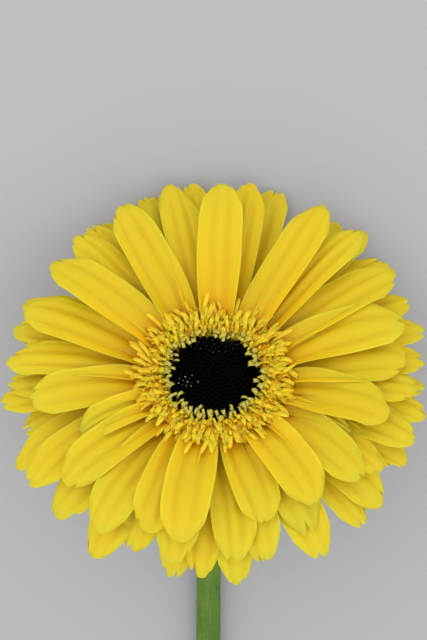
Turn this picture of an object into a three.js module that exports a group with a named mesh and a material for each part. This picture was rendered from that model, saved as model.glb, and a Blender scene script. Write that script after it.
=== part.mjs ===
// A cut gerbera lying on a table: a leafless stem that bends up at the neck into a tilted flower head.
// Millimetres and degrees, +Z up. The flower is modelled about its head and then set down, so that the
// middle of its footprint is the origin and the table is z = 0.
import * as THREE from "three";

const rad = THREE.MathUtils.degToRad;
const GAP = 0.3; // between pieces that are grown together

// ---- Driving dimensions ----
const HEAD_TILT = 41; // between the head's axis and upright; the head leans away from the stem
const HEAD_HEIGHT = 30.4; // from the table to the middle of the head, where the ray florets spread
const CLAW_RADIUS = 13.8; // where a ray floret's blade leaves the green cup
const BLADE_SPAN = 38; // from the claw to the rim of a full-size head
const BLADE_THICKNESS = 0.45;
const CLAW_BREADTH = 3.4; // a blade's breadth where it starts
const TIP_SHARE = 0.3; // a blade's breadth at its blunt end, as a share of its full breadth
const TIER_STEP = 0.8; // each tier of florets starts this far behind the one in front
const TIP_RECURVE = 0.175; // how much steeper a blade starts, and flatter it ends, than its mean slope
const LEAN = 8; // the florets near the table are pushed forward by this angle, those opposite droop by it
const SAG = 3; // the florets at the two sides hang sideways, towards the stem, by this angle
const TABLE_STEP = 0.9; // between the tiers where they are pressed against the table

// ---- Ray florets ----
// Each tier's mean rise above the plane of the head, and its florets as [azimuth, reach, breadth]: where the
// tip points, anticlockwise from +X seen from the front, its distance from the axis, and the blade's breadth.
const TIERS = [
  {
    rise: 15,
    florets: [
      [57, 50.6, 10.4], [87, 48.4, 11], [145.5, 48.2, 11.6], [206.5, 35.5, 8.2], [259.5, 43.5, 11.6],
      [305.5, 41, 11.2],
    ],
  },
  {
    rise: 12.5,
    florets: [
      [15.5, 48, 12.4], [45.5, 51.5, 9.8], [118.5, 49.2, 11.2], [161, 49, 11.6], [190, 44.5, 10.8],
      [218.5, 45, 10.6], [248, 42.5, 11], [288.5, 39, 11], [322.5, 44, 11.6], [344, 43.5, 12.6],
    ],
  },
  {
    rise: 10,
    florets: [
      [5.5, 47, 12.8], [31, 52.6, 11.6], [79.5, 52.4, 9.6], [102, 52.2, 10.2], [133, 50.6, 10],
      [176, 50.4, 10], [234.5, 47.5, 11.4],
    ],
  },
  {
    rise: 7,
    florets: [
      [95.5, 54, 9.6], [210, 51.6, 10.6], [258, 46.5, 10.4], [277, 45.5, 10.8], [301.5, 44.5, 11],
      [331.5, 46.5, 11], [357, 49.6, 11.4],
    ],
  },
  {
    rise: 4.5,
    florets: [
      [6.5, 52, 10.4], [48, 56.6, 10.8], [73.5, 56.6, 10.6], [126, 53.2, 10.4], [221, 50.2, 11],
      [245, 45.8, 10.6], [286, 46, 10.6], [343.5, 51, 11],
    ],
  },
  {
    rise: 1.5,
    florets: [
      [84, 55.4, 10], [104, 56.4, 10], [162, 52.7, 10.6], [183.5, 52.2, 10.4], [203, 51.8, 11.2],
      [235.8, 51, 11], [266, 47.2, 9.6], [302, 49.4, 11], [324.5, 50, 11.2], [353.5, 53, 11],
    ],
  },
  {
    rise: -1,
    florets: [
      [19, 55.8, 11.2], [57, 58.6, 10.6], [122, 56, 10.6], [191.5, 47.8, 10.2], [258.5, 47.4, 9.8],
      [277.5, 48.2, 10], [318, 49.2, 10], [339.5, 50.3, 10.8],
    ],
  },
];
const STATIONS = 9;

const rayMaterial = new THREE.MeshStandardMaterial({ name: "ray_petal", color: 0xe1c428, roughness: 0.6 });

// The blade's middle surface behind the head's plane at a distance r from the axis.
function bladeRise(tier, r, azimuth) {
  const t = (r - CLAW_RADIUS) / BLADE_SPAN;
  const mean = Math.tan(rad(TIERS[tier].rise + LEAN * Math.sin(azimuth)));
  return -TIER_STEP * tier + (r - CLAW_RADIUS) * (mean + TIP_RECURVE * (1 - t));
}

// A blade's breadth along its length, t = 0 at the claw and 1 at the tip, as a share of its full breadth.
function breadthShare(t, breadth) {
  const claw = CLAW_BREADTH / breadth;
  const widening = claw + (1 - claw) * Math.sin((Math.PI / 2) * Math.min(1, t / 0.62)) ** 1.3;
  const nearTip = Math.max(0, (t - 0.7) / 0.3);
  const rounding = TIP_SHARE + (1 - TIP_SHARE) * Math.sqrt(Math.max(0, 1 - nearTip ** 2.2));
  return widening * rounding;
}

// Lifts a point of the head that would be under the table onto it, straight up.
function liftOntoTable(p, clearance) {
  const up = new THREE.Vector3(0, -Math.sin(rad(HEAD_TILT)), Math.cos(rad(HEAD_TILT)));
  const height = HEAD_HEIGHT + p.dot(up);
  return height < clearance ? p.addScaledVector(up, clearance - height) : p;
}

// One ray floret: a flat box bent into a blade that runs out from the claw, widens and ends in a blunt tip.
function rayFloret(name, tier, [azimuthDeg, reach, breadth]) {
  const geometry = new THREE.BoxGeometry(1, 2, 2, STATIONS, 2, 1);
  const position = geometry.attributes.position;
  const sag = -rad(SAG) * Math.cos(rad(azimuthDeg));
  const tipAzimuth = rad(azimuthDeg);
  const azimuthAt = (t) => tipAzimuth - sag * (1 - t ** 1.6);
  const pointAt = (t) => {
    const r = CLAW_RADIUS + t * (reach - CLAW_RADIUS);
    const azimuth = azimuthAt(t);
    return new THREE.Vector3(r * Math.cos(azimuth), r * Math.sin(azimuth), bladeRise(tier, r, azimuth));
  };
  const lift = BLADE_THICKNESS / 2 + TABLE_STEP * (TIERS.length - 1 - tier);
  for (let i = 0; i < position.count; i++) {
    // Stations are closer together towards the tip, where the outline turns.
    const along = position.getX(i) + 0.5;
    const t = 1 - (1 - along) ** 1.35;
    const ahead = pointAt(Math.min(1, t + 0.01)).sub(pointAt(Math.max(0, t - 0.01))).normalize();
    const across = new THREE.Vector3(-ahead.y, ahead.x, 0).normalize();
    const out = new THREE.Vector3().crossVectors(ahead, across);
    const p = pointAt(t).addScaledVector(across, position.getY(i) * (breadth / 2) * breadthShare(t, breadth));
    liftOntoTable(p, lift);
    p.addScaledVector(out, position.getZ(i) * (BLADE_THICKNESS / 2));
    const floor = BLADE_THICKNESS * (position.getZ(i) + 1) * 0.5 + TABLE_STEP * (TIERS.length - 1 - tier);
    liftOntoTable(p, floor);
    position.setXYZ(i, p.x, p.y, p.z);
  }
  const mesh = new THREE.Mesh(geometry, rayMaterial);
  mesh.name = name;
  return mesh;
}

function rayFlorets() {
  const whorls = new THREE.Group();
  let count = 0;
  TIERS.forEach(({ florets }, tier) => {
    for (const floret of florets) {
      count += 1;
      whorls.add(rayFloret(`ray_floret_${String(count).padStart(2, "0")}`, tier, floret));
    }
  });
  return whorls;
}

// ---- The middle of the head, all turned about the head's axis ----
const CUP_DEPTH = 17.5; // from the middle of the head to the foot of the green cup
const ROUND = 32; // facets round the head

// A piece turned about the head's axis from its outline of [radius, height] points.
function turned(name, outline, material) {
  const points = outline.map(([radius, height]) => new THREE.Vector2(radius, height));
  const geometry = new THREE.LatheGeometry(points, ROUND);
  geometry.rotateX(Math.PI / 2); // a lathe turns about Y; the head's axis is Z
  const mesh = new THREE.Mesh(geometry, material);
  mesh.name = name;
  return mesh;
}

// The receptacle with its overlapping green bracts, grown as one cup.
function receptacle() {
  const outline = [
    [0, -CUP_DEPTH], [3.4, -CUP_DEPTH], [7.6, -16.6], [11.4, -14.6], [13.6, -11], [14.8, -6.2],
    [13.7, -6.2], [12.9, -9], [12.2, -12.2], [0, -12.2],
  ];
  const material = new THREE.MeshStandardMaterial({ name: "bract", color: 0x5f8a35, roughness: 0.7 });
  return turned("receptacle_cup", outline, material);
}

// The closed, nearly black florets in the middle, packed as one cushion.
function discFlorets() {
  const outline = [[0, -11.9], [10.7, -11.9], [10.7, 1.6], [9.6, 3.0], [6, 3.5], [0, 3.2]];
  const material = new THREE.MeshStandardMaterial({ name: "disc_bud", color: 0x16120e, roughness: 0.5 });
  return turned("disc_florets", outline, material);
}

// The open, two-lipped florets that ring the dark middle and spread over the claws of the rays.
function transFlorets() {
  const outline = [
    [11, -11.9], [11.9, -11.9], [13.3, 0.4], [16.4, 2.6], [20, 4.7], [20.2, 5.6], [17, 6.8], [13.4, 6.6],
    [11, 4.2], [11, -11.9],
  ];
  const material = new THREE.MeshStandardMaterial({ name: "ring_floret", color: 0xd9b22c, roughness: 0.65 });
  return turned("trans_florets", outline, material);
}

// ---- Stem ----
const NECK_RADIUS = 3.25;
const FLARE_RADIUS = 3.8; // where the stem swells into the cup
const FOOT_RADIUS = 3.7; // at the cut end
const CUT_SLANT = 0.9; // the cut's run along the stem for each unit across it
const NECK_LENGTH = 52; // from the cup to where the stem meets the table
const FOOT_Y = -238; // the cut end, measured from the middle of the head
const STEM_SIDES = 16;
const STEM_STEPS = 34;

// The stem's middle line: out of the cup along the head's axis, round the neck, then along the table.
function stemPath() {
  const tilt = rad(HEAD_TILT);
  const axis = new THREE.Vector3(0, Math.sin(tilt), Math.cos(tilt));
  const top = new THREE.Vector3(0, 0, HEAD_HEIGHT).addScaledVector(axis, -CUP_DEPTH - GAP);
  const landing = new THREE.Vector3(-1.35, top.y - NECK_LENGTH, NECK_RADIUS);
  const path = new THREE.CurvePath();
  path.add(
    new THREE.CubicBezierCurve3(
      top,
      top.clone().addScaledVector(axis, -15),
      new THREE.Vector3(-1.15, landing.y + 26, NECK_RADIUS),
      landing,
    ),
  );
  path.add(
    new THREE.CubicBezierCurve3(
      landing,
      new THREE.Vector3(-1.75, landing.y - 52, NECK_RADIUS),
      new THREE.Vector3(1.2, FOOT_Y + 62, FOOT_RADIUS),
      new THREE.Vector3(4.2, FOOT_Y, FOOT_RADIUS),
    ),
  );
  return path;
}

function stemRadius(t) {
  const flare = (FLARE_RADIUS - NECK_RADIUS) * Math.exp(-((t / 0.03) ** 2));
  return NECK_RADIUS + flare + (FOOT_RADIUS - NECK_RADIUS) * THREE.MathUtils.smoothstep(t, 0.3, 1);
}

// A cylinder led along the stem's path, its foot cut on a slant.
function stem() {
  const path = stemPath();
  const geometry = new THREE.CylinderGeometry(1, 1, 1, STEM_SIDES, STEM_STEPS);
  const position = geometry.attributes.position;
  for (let i = 0; i < position.count; i++) {
    const t = 0.5 - position.getY(i);
    const ahead = path.getTangentAt(t);
    const side = new THREE.Vector3(-ahead.y, ahead.x, 0).normalize();
    const above = new THREE.Vector3().crossVectors(side, ahead).normalize();
    const radius = stemRadius(t);
    const p = path.getPointAt(t);
    p.addScaledVector(side, position.getX(i) * radius).addScaledVector(above, -position.getZ(i) * radius);
    if (t > 0.999) p.addScaledVector(ahead, position.getZ(i) * radius * CUT_SLANT);
    p.z = Math.max(p.z, 0);
    position.setXYZ(i, p.x, p.y, p.z);
  }
  const material = new THREE.MeshStandardMaterial({ name: "stem", color: 0x628232, roughness: 0.65 });
  const mesh = new THREE.Mesh(geometry, material);
  mesh.name = "stem";
  return mesh;
}

// ---- The whole flower ----
const head = new THREE.Group();
head.add(receptacle(), discFlorets(), transFlorets(), rayFlorets());
head.rotation.x = -rad(HEAD_TILT);
head.position.z = HEAD_HEIGHT;

const gerbera = new THREE.Group();
gerbera.add(stem(), head);

// The middle of the footprint becomes the origin.
const box = new THREE.Box3().setFromObject(gerbera, true);
const middle = box.getCenter(new THREE.Vector3());
gerbera.position.set(-middle.x, -middle.y, -box.min.z);

export default gerbera;
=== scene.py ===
import math

import bmesh
import bpy
import numpy as np
from mathutils import Matrix, Vector


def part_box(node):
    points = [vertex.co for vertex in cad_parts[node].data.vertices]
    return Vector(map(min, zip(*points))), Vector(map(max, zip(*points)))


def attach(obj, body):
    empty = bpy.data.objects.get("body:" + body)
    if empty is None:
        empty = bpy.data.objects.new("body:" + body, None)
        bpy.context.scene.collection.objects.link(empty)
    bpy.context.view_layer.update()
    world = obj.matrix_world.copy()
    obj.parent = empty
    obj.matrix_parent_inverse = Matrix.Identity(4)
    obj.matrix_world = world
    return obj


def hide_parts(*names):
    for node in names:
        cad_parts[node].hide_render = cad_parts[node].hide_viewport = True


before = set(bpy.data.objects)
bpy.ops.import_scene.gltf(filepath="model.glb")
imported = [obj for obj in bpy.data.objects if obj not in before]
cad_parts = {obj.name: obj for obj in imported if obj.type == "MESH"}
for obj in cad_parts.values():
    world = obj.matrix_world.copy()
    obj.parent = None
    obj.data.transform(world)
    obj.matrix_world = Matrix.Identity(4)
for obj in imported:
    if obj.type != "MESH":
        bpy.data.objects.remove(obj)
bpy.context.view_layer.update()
MM = 0.001

# ---- Place of the head ----
# A gerbera head is round about its own axis. Laid down, it leans away from the stem. Its middle, where the
# ray florets spread, is found from the rim of the ring of small florets.
HEAD_TILT = math.radians(41)
RIM_RADIUS, RIM_HEIGHT = 20.2, 5.6
rim_low, rim_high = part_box("trans_florets")
rim_y = RIM_RADIUS * math.cos(HEAD_TILT) + RIM_HEIGHT * math.sin(HEAD_TILT)
rim_z = RIM_RADIUS * math.sin(HEAD_TILT) + RIM_HEIGHT * math.cos(HEAD_TILT)
head_middle = Vector(((rim_low.x + rim_high.x) / 2, rim_high.y - rim_y * MM, rim_high.z - rim_z * MM))
head_turn = Matrix.Rotation(-HEAD_TILT, 4, "X")
to_row = Matrix.Translation(head_middle) @ head_turn @ Matrix.Scale(MM, 4)

# ---- Camera ----
# It looks down on the lying flower, leaning a little, so the head is seen from just above its own axis.
CAMERA_LEAN = math.radians(12)
CAMERA_DISTANCE = 0.45
SENSOR_HEIGHT = 24
HALF_VIEW = 78.05 * MM
AIM_ABOVE_HEAD = 14.9 * MM
towards_camera = Vector((0, math.sin(CAMERA_LEAN), math.cos(CAMERA_LEAN)))
picture_up = Vector((0, math.cos(CAMERA_LEAN), -math.sin(CAMERA_LEAN)))
camera = bpy.data.objects.new("camera", bpy.data.cameras.new("camera"))
camera.data.sensor_fit = "VERTICAL"
camera.data.sensor_height = SENSOR_HEIGHT
camera.data.lens = SENSOR_HEIGHT / 2 * CAMERA_DISTANCE / HALF_VIEW
camera_place = head_middle + picture_up * AIM_ABOVE_HEAD + towards_camera * CAMERA_DISTANCE
camera.matrix_world = Matrix.Translation(camera_place) @ Matrix(
    (Vector((1, 0, 0)), picture_up, towards_camera)
).transposed().to_4x4()
bpy.context.scene.collection.objects.link(camera)
bpy.context.scene.camera = camera

# ---- Light ----
# Soft studio light: one wide panel high on the left behind the head, a weaker one on the right, and an even
# pale room around them.


def light_panel(name, direction, distance, size, power, colour):
    lamp = bpy.data.lights.new(name, "AREA")
    lamp.shape = "SQUARE"
    lamp.size = size
    lamp.energy = power
    lamp.color = colour
    panel = bpy.data.objects.new(name, lamp)
    place = head_middle + Vector(direction).normalized() * distance
    panel.location = place
    panel.rotation_euler = (place - head_middle).to_track_quat("Z", "Y").to_euler()
    bpy.context.scene.collection.objects.link(panel)


PANEL_DISTANCE, PANEL_SIZE = 2.4, 2.4
light_panel("key_panel", (-0.38, 0.45, 1.0), PANEL_DISTANCE, PANEL_SIZE, 10.0, (1.0, 0.995, 0.985))
light_panel("fill_panel", (0.7, -0.55, 1.0), PANEL_DISTANCE, PANEL_SIZE, 7.5, (0.98, 0.99, 1.0))
room = bpy.data.worlds.new("room")
bpy.context.scene.world = room
room.use_nodes = True
room.node_tree.nodes["Background"].inputs["Color"].default_value = (0.97, 0.98, 1.0, 1)
room.node_tree.nodes["Background"].inputs["Strength"].default_value = 1.16
bpy.context.scene.view_settings.view_transform = "Standard"

# ---- Floor ----
# A wide sheet of pale grey paper, smooth and matte.


def linear(colour):
    """An sRGB hex colour as linear red, green, blue and alpha."""
    shares = [int(colour[i : i + 2], 16) / 255 for i in (1, 3, 5)]
    return tuple(c / 12.92 if c <= 0.04045 else ((c + 0.055) / 1.055) ** 2.4 for c in shares) + (1.0,)


def add_node(tree, kind, inputs=None, stops=None, **settings):
    """Adds a node. Each input is a value, or another node's output to link. Stops are a ramp's colours."""
    node = tree.nodes.new(kind)
    for setting, value in settings.items():
        setattr(node, setting, value)
    for socket, value in (inputs or {}).items():
        if isinstance(value, bpy.types.NodeSocket):
            tree.links.new(value, node.inputs[socket])
        else:
            node.inputs[socket].default_value = value
    if stops:
        node.color_ramp.elements.remove(node.color_ramp.elements[1])
        node.color_ramp.elements[0].position = stops[0][0]
        node.color_ramp.elements[0].color = linear(stops[0][1])
        for position, colour in stops[1:]:
            node.color_ramp.elements.new(position).color = linear(colour)
    return node


def new_material(name, colour, roughness):
    material = bpy.data.materials.new(name)
    material.use_nodes = True
    shader = material.node_tree.nodes["Principled BSDF"]
    shader.inputs["Base Color"].default_value = linear(colour)
    shader.inputs["Roughness"].default_value = roughness
    return material, material.node_tree, shader


def link_mesh(name, mesh, *materials):
    piece = bpy.data.objects.new(name, mesh)
    for material in materials:
        mesh.materials.append(material)
    bpy.context.scene.collection.objects.link(piece)
    return piece


# Paper: dull, with a faint tooth.
paper, tree, shader = new_material("matte_paper", "#a9a9ab", 0.95)
place = add_node(tree, "ShaderNodeTexCoord").outputs["Object"]
tooth = add_node(tree, "ShaderNodeTexNoise", {"Vector": place, "Scale": 900.0, "Detail": 2.0})
bump = add_node(
    tree, "ShaderNodeBump", {"Height": tooth.outputs["Fac"], "Distance": 0.00002, "Strength": 0.3}
)
tree.links.new(bump.outputs["Normal"], shader.inputs["Normal"])
shader.inputs["Specular IOR Level"].default_value = 0.2

floor_mesh = bpy.data.meshes.new("floor")
FLOOR_HALF = 2.2
floor_corners = [
    (-FLOOR_HALF, -FLOOR_HALF, 0),
    (FLOOR_HALF, -FLOOR_HALF, 0),
    (FLOOR_HALF, FLOOR_HALF, 0),
    (-FLOOR_HALF, FLOOR_HALF, 0),
]
floor_mesh.from_pydata(floor_corners, [], [(0, 1, 2, 3)])
floor = link_mesh("floor", floor_mesh, paper)

# ---- Stem ----
# The scape: one leafless green stalk, round with shallow ribs and short down, which swells a little into the
# cup. It was cut on a slant, and the cut shows pale, wet pith.
CUP_DEPTH = 17.5
NECK_RADIUS, FLARE_RADIUS, FOOT_RADIUS = 3.25, 3.8, 3.7
NECK_LENGTH = 52
FOOT_Y = -238
CUT_SLANT = 0.9
HEAD_HEIGHT = head_middle.z / MM
STEM_SIDES, STEM_STEPS = 72, 300
STEM_RIBS = 11
RIB_DEPTH = 0.09
CUT_RINGS = 7
CUT_HOLLOW = 0.35
CUP_GAP = 0.1
FLOOR_GAP = 0.02
# The middle line's sideways wander, and how far its curves reach from their ends.
LANDING_X, FOOT_X = -1.35, 4.2
NECK_REACH, LANDING_REACH = 15, 26
RUN_REACH, FOOT_REACH = 52, 62


def bezier(a, b, c, d, t):
    t = t[:, None]
    return (1 - t) ** 3 * a + 3 * (1 - t) ** 2 * t * b + 3 * (1 - t) * t**2 * c + t**3 * d


def unit(v):
    return v / np.linalg.norm(v, axis=-1, keepdims=True)


def stem_line():
    """The stem's middle line in millimetres from under the head's middle: points evenly spaced along it."""
    axis = np.array([0, math.sin(HEAD_TILT), math.cos(HEAD_TILT)])
    top = np.array([0, 0, HEAD_HEIGHT]) - axis * (CUP_DEPTH + CUP_GAP)
    landing = np.array([LANDING_X, top[1] - NECK_LENGTH, NECK_RADIUS])
    share = np.linspace(0, 1, 400)
    above_landing = np.array([-1.15, landing[1] + LANDING_REACH, NECK_RADIUS])
    neck = bezier(top, top - axis * NECK_REACH, above_landing, landing, share)
    run = bezier(
        landing,
        np.array([-1.75, landing[1] - RUN_REACH, NECK_RADIUS]),
        np.array([1.2, FOOT_Y + FOOT_REACH, FOOT_RADIUS]),
        np.array([FOOT_X, FOOT_Y, FOOT_RADIUS]),
        share,
    )
    line = np.vstack([neck, run[1:]])
    far = np.concatenate([[0], np.cumsum(np.linalg.norm(np.diff(line, axis=0), axis=1))])
    even = np.linspace(0, far[-1], STEM_STEPS)
    return np.stack([np.interp(even, far, line[:, k]) for k in range(3)], 1)


def stem_mesh():
    line = stem_line()
    share = np.linspace(0, 1, STEM_STEPS)
    ahead = unit(np.gradient(line, axis=0))
    side = unit(np.stack([-ahead[:, 1], ahead[:, 0], 0 * share], 1))
    above = np.cross(side, ahead)
    easing = np.clip((share - 0.3) / 0.7, 0, 1)
    radius = NECK_RADIUS + (FLARE_RADIUS - NECK_RADIUS) * np.exp(-((share / 0.03) ** 2))
    radius = radius + (FOOT_RADIUS - NECK_RADIUS) * easing**2 * (3 - 2 * easing)
    turn = np.linspace(0, 2 * math.pi, STEM_SIDES, endpoint=False)
    wander = share[:, None] * 1.4 + 0.25 * np.sin(share[:, None] * 9)
    ribs = np.abs(np.sin(STEM_RIBS / 2 * (turn[None, :] + wander))) ** 0.7
    uneven = 0.05 * np.sin(share[:, None] * 23 + 2 * np.sin(turn[None, :]))
    around = radius[:, None] - RIB_DEPTH * ribs + uneven
    rings = (
        line[:, None, :]
        + side[:, None, :] * (np.cos(turn) * around)[..., None]
        + above[:, None, :] * (np.sin(turn) * around)[..., None]
    )
    down = np.sin(turn)
    # The foot leans back under the slanted cut.
    slant = np.clip((share - 0.985) / 0.015, 0, 1)[:, None] * -down[None, :] * FOOT_RADIUS * CUT_SLANT
    rings = rings + ahead[:, None, :] * slant[..., None]
    rings[..., 2] = np.maximum(rings[..., 2], FLOOR_GAP)
    rows = [rings[k] for k in range(STEM_STEPS)]
    foot_middle = rows[-1].mean(0)
    for k in range(1, CUT_RINGS):
        inward = 1 - k / CUT_RINGS
        hollow = ahead[-1] * -CUT_HOLLOW * (1 - inward**2)
        rows.append(foot_middle + (rows[STEM_STEPS - 1] - foot_middle) * inward + hollow)
    vertices = np.vstack(rows)
    faces = []
    for k in range(len(rows) - 1):
        for i in range(STEM_SIDES):
            j = (i + 1) % STEM_SIDES
            faces.append(
                (k * STEM_SIDES + i, k * STEM_SIDES + j, (k + 1) * STEM_SIDES + j, (k + 1) * STEM_SIDES + i)
            )
    top_pole, foot_pole = len(vertices), len(vertices) + 1
    vertices = np.vstack([vertices, rows[0].mean(0), foot_middle - ahead[-1] * CUT_HOLLOW])
    last = (len(rows) - 1) * STEM_SIDES
    for i in range(STEM_SIDES):
        j = (i + 1) % STEM_SIDES
        faces.append((top_pole, j, i))
        faces.append((foot_pole, last + i, last + j))
    vertices = vertices * MM + np.array([head_middle.x, head_middle.y, 0])
    mesh = bpy.data.meshes.new("stem")
    mesh.from_pydata(vertices.tolist(), [], faces)
    cut = mesh.attributes.new("cut", "FLOAT", "POINT")
    depth = [0.0] * (STEM_STEPS * STEM_SIDES) + [1.0] * (len(vertices) - STEM_STEPS * STEM_SIDES)
    cut.data.foreach_set("value", depth)
    mesh.shade_smooth()
    right_way_out(mesh)
    return mesh


def right_way_out(mesh):
    """Turns every face of a closed mesh outwards."""
    shell = bmesh.new()
    shell.from_mesh(mesh)
    bmesh.ops.recalc_face_normals(shell, faces=shell.faces)
    shell.to_mesh(mesh)
    shell.free()


# Living epidermis: a waxy skin over green tissue, blotched and streaked with paler fibres. The cut face is
# pale pith.
epidermis, tree, shader = new_material("stem_epidermis", "#5a7c24", 0.55)
place = add_node(tree, "ShaderNodeTexCoord").outputs["Object"]
stretched = add_node(tree, "ShaderNodeMapping", {"Vector": place, "Scale": (1.0, 0.08, 1.0)})
fibres = add_node(
    tree, "ShaderNodeTexNoise", {"Vector": stretched.outputs["Vector"], "Scale": 1500.0, "Detail": 3.0}
)
blotches = add_node(tree, "ShaderNodeTexNoise", {"Vector": place, "Scale": 120.0, "Detail": 3.0})
fresh = add_node(
    tree, "ShaderNodeValToRGB", {"Fac": blotches.outputs["Fac"]}, [(0.3, "#426316"), (0.72, "#5f8024")]
)
fibre_share = add_node(
    tree,
    "ShaderNodeMapRange",
    {"Value": fibres.outputs["Fac"], "From Min": 0.4, "From Max": 0.75, "To Max": 0.28},
)
streaked = add_node(
    tree,
    "ShaderNodeMix",
    {0: fibre_share.outputs["Result"], 6: fresh.outputs["Color"], 7: linear("#7d9a40")},
    data_type="RGBA",
)
cut_face = add_node(tree, "ShaderNodeAttribute", attribute_name="cut")
pithy = add_node(
    tree,
    "ShaderNodeMix",
    {0: cut_face.outputs["Fac"], 6: streaked.outputs[2], 7: linear("#c6cf9a")},
    data_type="RGBA",
)
tree.links.new(pithy.outputs[2], shader.inputs["Base Color"])
bump = add_node(
    tree, "ShaderNodeBump", {"Height": fibres.outputs["Fac"], "Distance": 0.00012, "Strength": 0.5}
)
tree.links.new(bump.outputs["Normal"], shader.inputs["Normal"])
shader.inputs["Specular IOR Level"].default_value = 0.25
shader.inputs["Subsurface Weight"].default_value = 0.15
shader.inputs["Subsurface Radius"].default_value = (0.6, 1.0, 0.2)
shader.inputs["Subsurface Scale"].default_value = 0.0012

stem = link_mesh("stem_scape", stem_mesh(), epidermis)
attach(stem, "root")
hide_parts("stem")

# ---- Down on the stem ----
# Short pale hairs grow out of the skin all along the scape.
HAIRS_PER_MM2 = 0.7
HAIR_LENGTH = 0.55
HAIR_ROOT = 0.032


def node_group(name, sockets):
    """An empty geometry tree with the named inputs and one geometry output."""
    tree = bpy.data.node_groups.new(name, "GeometryNodeTree")
    tree.interface.new_socket("Geometry", in_out="OUTPUT", socket_type="NodeSocketGeometry")
    for socket, kind in sockets.items():
        tree.interface.new_socket(socket, in_out="INPUT", socket_type=kind)
    return tree, tree.nodes.new("NodeGroupInput").outputs


def grown(tree, name, carrier_mesh, values):
    """Runs a geometry tree on a carrier mesh and returns the plain mesh that it makes."""
    carrier = bpy.data.objects.new(name + "_carrier", carrier_mesh)
    bpy.context.scene.collection.objects.link(carrier)
    modifier = carrier.modifiers.new("grow", "NODES")
    modifier.node_group = tree
    for item in tree.interface.items_tree:
        if item.in_out == "INPUT" and item.name in values:
            modifier[item.identifier] = values[item.name]
    depsgraph = bpy.context.evaluated_depsgraph_get()
    mesh = bpy.data.meshes.new_from_object(carrier.evaluated_get(depsgraph))
    mesh.name = name
    carrier.modifiers.remove(modifier)
    bpy.data.objects.remove(carrier)
    return mesh


def hidden_shape(name, mesh):
    """A shape that trees copy: it is in no scene, so it isn't part of the flower."""
    return bpy.data.objects.new(name, mesh)


def hair_shape():
    mesh = bpy.data.meshes.new("hair")
    height = HAIR_LENGTH * MM
    root = HAIR_ROOT * MM
    points = [(root * math.cos(a), root * math.sin(a), -0.05 * MM) for a in (0, 2.094, 4.189)]
    middle = [(0.7 * x + 0.12 * height, 0.7 * y, height * 0.55) for x, y, _ in points]
    mesh.from_pydata(
        points + middle + [(0.35 * height, 0, height)],
        [],
        [(2, 1, 0), (0, 1, 4, 3), (1, 2, 5, 4), (2, 0, 3, 5), (3, 4, 6), (4, 5, 6), (5, 3, 6)],
    )
    return mesh


tree, given = node_group(
    "down_on_skin",
    {
        "Skin": "NodeSocketGeometry",
        "Hair": "NodeSocketObject",
        "Hairs per Area": "NodeSocketFloat",
        "Seed": "NodeSocketInt",
        "Material": "NodeSocketMaterial",
    },
)
scatter = add_node(
    tree,
    "GeometryNodeDistributePointsOnFaces",
    {"Mesh": given["Skin"], "Density": given["Hairs per Area"], "Seed": given["Seed"]},
)
stand = add_node(tree, "FunctionNodeAlignRotationToVector", {"Vector": scatter.outputs["Normal"]}, axis="Z")
spin = add_node(
    tree,
    "FunctionNodeRandomValue",
    {"Min": (-0.5, -0.5, 0.0), "Max": (0.5, 0.5, 6.28), "Seed": given["Seed"]},
    data_type="FLOAT_VECTOR",
)
turned = add_node(
    tree,
    "FunctionNodeRotateRotation",
    {"Rotation": stand.outputs["Rotation"], "Rotate By": spin.outputs["Value"]},
    rotation_space="LOCAL",
)
hair_size = add_node(
    tree, "FunctionNodeRandomValue", {2: 0.5, 3: 1.25, "Seed": given["Seed"]}, data_type="FLOAT"
)
hair = add_node(tree, "GeometryNodeObjectInfo", {"Object": given["Hair"]})
hairs = add_node(
    tree,
    "GeometryNodeInstanceOnPoints",
    {
        "Points": scatter.outputs["Points"],
        "Instance": hair.outputs["Geometry"],
        "Rotation": turned.outputs["Rotation"],
        "Scale": hair_size.outputs[1],
    },
)
real = add_node(tree, "GeometryNodeRealizeInstances", {"Geometry": hairs.outputs["Instances"]})
painted = add_node(
    tree, "GeometryNodeSetMaterial", {"Geometry": real.outputs["Geometry"], "Material": given["Material"]}
)
add_node(tree, "NodeGroupOutput", {"Geometry": painted.outputs["Geometry"]})

# Plant hair: thin clear cells that catch the light as a pale green haze.
hair_cells, hair_tree, shader = new_material("stem_hair", "#b4c48a", 0.45)
place = add_node(hair_tree, "ShaderNodeTexCoord").outputs["Object"]
paler = add_node(hair_tree, "ShaderNodeTexNoise", {"Vector": place, "Scale": 300.0})
tint = add_node(
    hair_tree,
    "ShaderNodeMix",
    {0: paler.outputs["Fac"], 6: linear("#8ba158"), 7: linear("#b6c68c")},
    data_type="RGBA",
)
hair_tree.links.new(tint.outputs[2], shader.inputs["Base Color"])

down_mesh = grown(
    tree,
    "stem_down",
    stem.data.copy(),
    {
        "Hair": hidden_shape("hair", hair_shape()),
        "Hairs per Area": HAIRS_PER_MM2 / MM**2,
        "Seed": 4,
        "Material": hair_cells,
    },
)
# Under the stem they are pressed flat.
for vertex in down_mesh.vertices:
    vertex.co.z = max(vertex.co.z, FLOOR_GAP * MM)
down = bpy.data.objects.new("stem_down", down_mesh)
bpy.context.scene.collection.objects.link(down)
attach(down, "root")

# ---- Receptacle ----
# The green cup under the head, grown at the end of the scape. All the florets sit in it.
CUP_OUTLINE = [
    (0.02, -17.5),
    (3.2, -17.5),
    (5.4, -17.2),
    (7.6, -16.4),
    (9.7, -15.3),
    (11.4, -14.0),
    (12.9, -11.9),
    (13.8, -9.4),
    (14.4, -6.4),
    (13.7, -6.3),
    (12.9, -9),
    (12.2, -12.1),
    (0.02, -12.1),
]
CUP_SIDES = 96


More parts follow.
